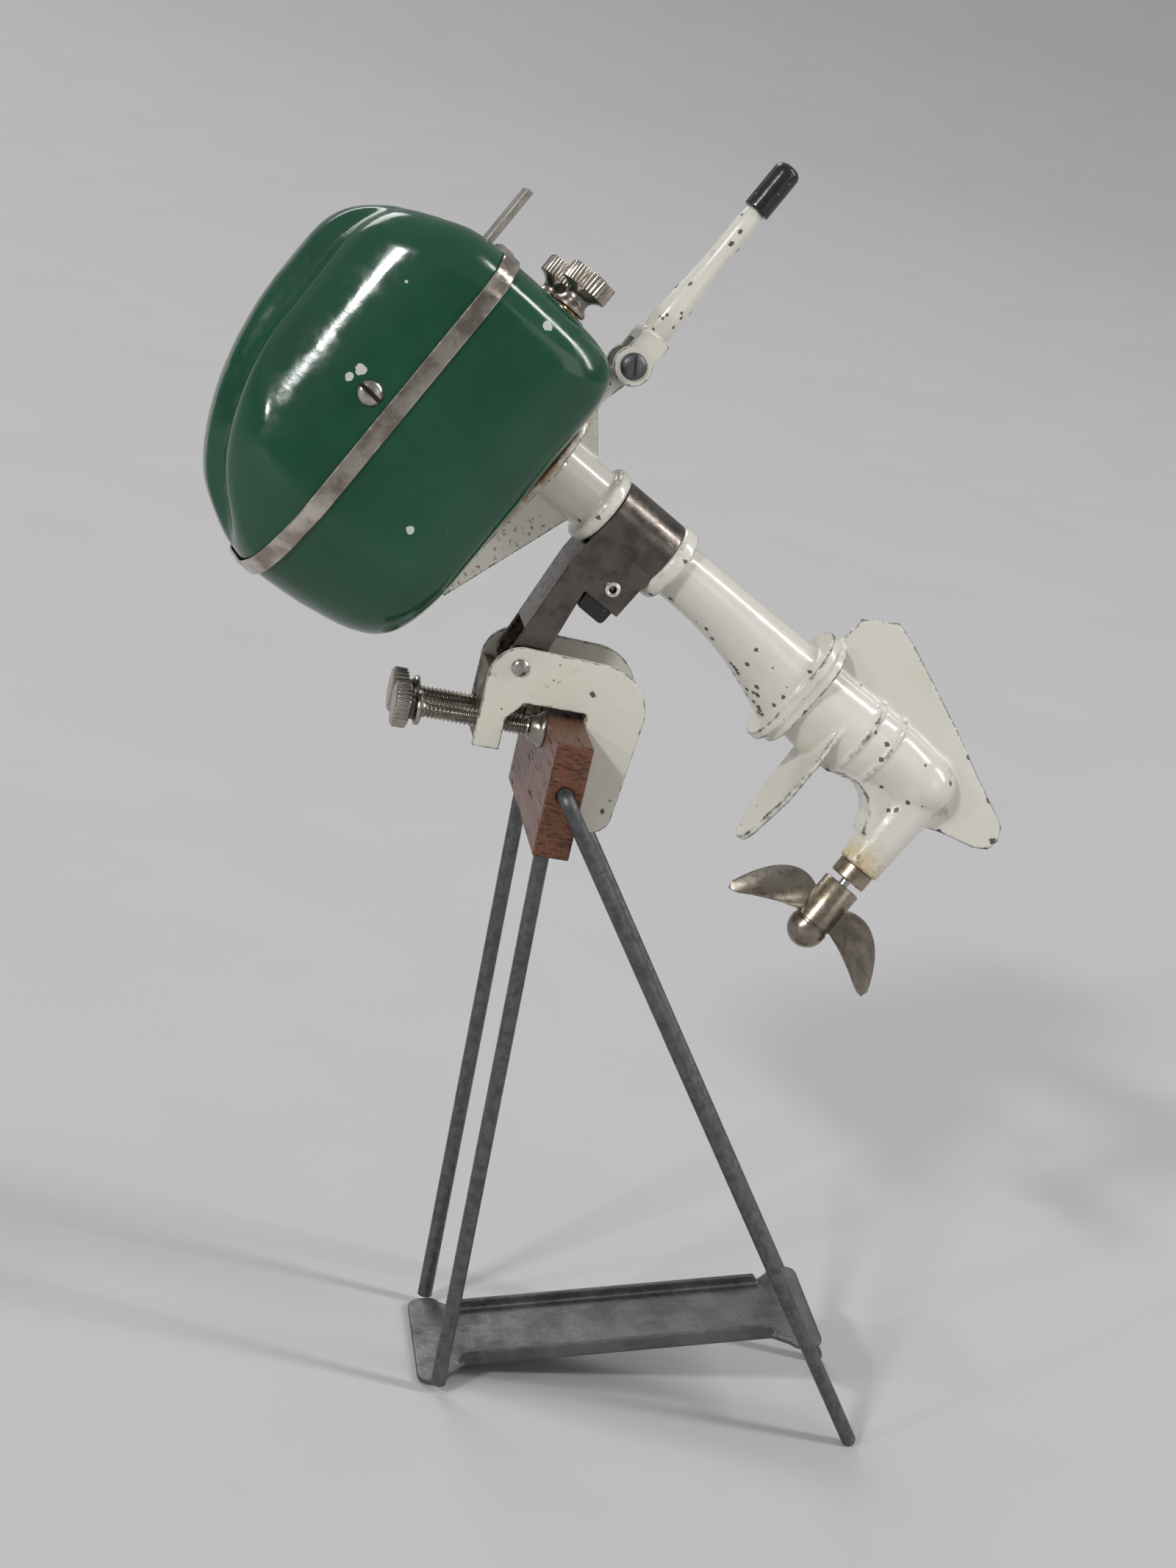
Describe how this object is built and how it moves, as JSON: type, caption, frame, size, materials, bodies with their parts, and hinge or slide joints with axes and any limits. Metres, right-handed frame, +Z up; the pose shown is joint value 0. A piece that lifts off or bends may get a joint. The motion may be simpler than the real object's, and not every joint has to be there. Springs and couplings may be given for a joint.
{
  "type": "miniature outboard motor on a display stand",
  "caption": "Miniature electric outboard motor with tilting, steering swivel bracket, clamped to a wire-legged display stand.",
  "frame": {"origin": "centre of the bounding box on the floor plane that the stand's feet rest on", "axes": "+X across the stand towards the propeller end, +Y away along the wooden block, +Z up"},
  "size_m": [0.1338, 0.0442, 0.1975],
  "materials": {
    "cowl_green": "deep glossy green lacquer with small pale chips",
    "enamel_white": "cream-white enamel over die-cast zinc, dark chips on the edges",
    "bracket_white": "cream-white enamel on pressed steel, worn dark edges",
    "bright_trim": "bright nickel plate",
    "tarnished_nickel": "nickel plate gone dark and warm",
    "stand_wire": "mottled dark grey steel wire",
    "stand_sheet": "grey oxidised sheet steel",
    "brown_steel": "brown oxidised steel",
    "wood": "stained open-grained hardwood",
    "black_rubber": "matt black rubber",
    "black_grip": "black plastic sleeve",
    "red_fibre": "red-brown vulcanised fibre",
    "brass": "dull brass",
    "copper": "enamelled copper",
    "magnet": "dark sintered magnet",
    "core_iron": "laminated iron",
    "plain_steel": "turned steel",
    "carbon": "pressed carbon",
    "insulation": "red lead insulation",
    "cap_moulding": "dark brown moulding"
  },
  "bodies": {
    "stand": {"base_tray": "stand_sheet", "left_leg_near": "stand_wire", "left_leg_far": "stand_wire", "right_leg_wire": "stand_wire", "transom_block": "wood", "clamp_bracket": "bracket_white", "clamp_screw_plate": "brown_steel", "tilt_rivet": "bright_trim"},
    "near_pad": {"near_clamp_pad": "tarnished_nickel"},
    "far_pad": {"far_clamp_pad": "tarnished_nickel"},
    "near_screw": {"near_clamp_screw": "tarnished_nickel"},
    "far_screw": {"far_clamp_screw": "tarnished_nickel"},
    "swivel": {"swivel_strap": "tarnished_nickel", "strap_eyelet": "bright_trim", "tilt_stop_pad": "black_rubber"},
    "motor": {"leg_casting": "enamel_white", "lower_cowl": "cowl_green", "upper_cowl": "cowl_green", "trim_band": "bright_trim", "cowl_side_screws": "tarnished_nickel", "cowl_bridge": "plain_steel", "chassis_screws": "plain_steel", "tiller_pivot_screw": "stand_wire", "terminal_studs": "brass", "terminal_washers": "red_fibre", "terminal_hex_nuts": "tarnished_nickel", "switch_base_plate": "red_fibre", "switch_pivot_rivet": "brass", "motor_can": "plain_steel", "motor_end_cap": "cap_moulding", "motor_magnets": "magnet", "brush_holders": "brass", "brushes": "carbon", "motor_bearings": "brass", "lower_shaft_bush": "brass", "flex_drive_spring": "plain_steel", "propeller_bush": "brass", "propeller_bearing_collar": "tarnished_nickel", "near_lead_wire": "insulation", "far_lead_wire": "insulation"},
    "tiller": {"tiller_handle": "enamel_white", "tiller_grip": "black_grip"},
    "lever": {"switch_lever": "tarnished_nickel"},
    "near_nut": {"near_thumb_nut": "tarnished_nickel"},
    "far_nut": {"far_thumb_nut": "tarnished_nickel"},
    "armature": {"armature_shaft": "plain_steel", "armature_core": "core_iron", "armature_windings": "copper", "commutator": "copper", "shaft_coupling": "brass", "drive_shaft": "plain_steel"},
    "propeller": {"propeller_shaft": "plain_steel", "propeller_hub": "tarnished_nickel", "propeller_blades": "tarnished_nickel", "hub_set_screw": "plain_steel"}
  },
  "joints": [
    {"name": "tilt", "type": "hinge", "parent": "stand", "child": "swivel", "pos_m": [-0.01498, 0.0011, 0.1179], "axis": [0, 1, 0], "range_deg": [-5, 16]},
    {"name": "steer", "type": "hinge", "parent": "swivel", "child": "motor", "pos_m": [-0.00178, 0.0011, 0.14], "axis": [-0.8746, 0, 0.4848], "continuous": true},
    {"name": "tiller_fold", "type": "hinge", "parent": "motor", "child": "tiller", "pos_m": [-0.00763, 0.00368, 0.1643], "axis": [0.0675, -0.9903, 0.1217], "range_deg": [0, 60]},
    {"name": "switch_swing", "type": "hinge", "parent": "motor", "child": "lever", "pos_m": [-0.0373, 0.00221, 0.16875], "axis": [-0.8746, 0, 0.4848], "range_deg": [-15, 15]},
    {"name": "armature_spin", "type": "hinge", "parent": "motor", "child": "armature", "pos_m": [-0.02802, 0.0011, 0.15454], "axis": [-0.8746, 0, 0.4848], "continuous": true},
    {"name": "propeller_spin", "type": "hinge", "parent": "motor", "child": "propeller", "pos_m": [0.04114, -0.00238, 0.0879], "axis": [0.4801, 0.1392, 0.8661], "continuous": true},
    {"name": "near_pad_slide", "type": "slide", "parent": "stand", "child": "near_pad", "axis": [-1, 0, 0], "range_m": [0, 0.00254]},
    {"name": "near_screw_turn", "type": "hinge", "parent": "near_pad", "child": "near_screw", "pos_m": [-0.02178, -0.0027, 0.1083], "axis": [1, 0, 0], "range_deg": [-1441, 1441]},
    {"name": "near_nut_turn", "type": "hinge", "parent": "motor", "child": "near_nut", "pos_m": [-0.01779, -0.00377, 0.17506], "axis": [0.4801, 0.1392, 0.8661], "continuous": true},
    {"name": "far_pad_slide", "type": "slide", "parent": "stand", "child": "far_pad", "axis": [-1, 0, 0], "range_m": [0, 0.00254]},
    {"name": "far_screw_turn", "type": "hinge", "parent": "far_pad", "child": "far_screw", "pos_m": [-0.02178, 0.0049, 0.1083], "axis": [1, 0, 0], "range_deg": [-1441, 1441]},
    {"name": "far_nut_turn", "type": "hinge", "parent": "motor", "child": "far_nut", "pos_m": [-0.01887, 0.01208, 0.17311], "axis": [0.4801, 0.1392, 0.8661], "continuous": true}
  ],
  "couplings": [
    {"joint": "near_screw_turn", "follows": "near_pad_slide", "rad_per_m": -9894.8},
    {"joint": "far_screw_turn", "follows": "far_pad_slide", "rad_per_m": -9894.8},
    {"joint": "propeller_spin", "follows": "armature_spin", "ratio": 1}
  ]
}
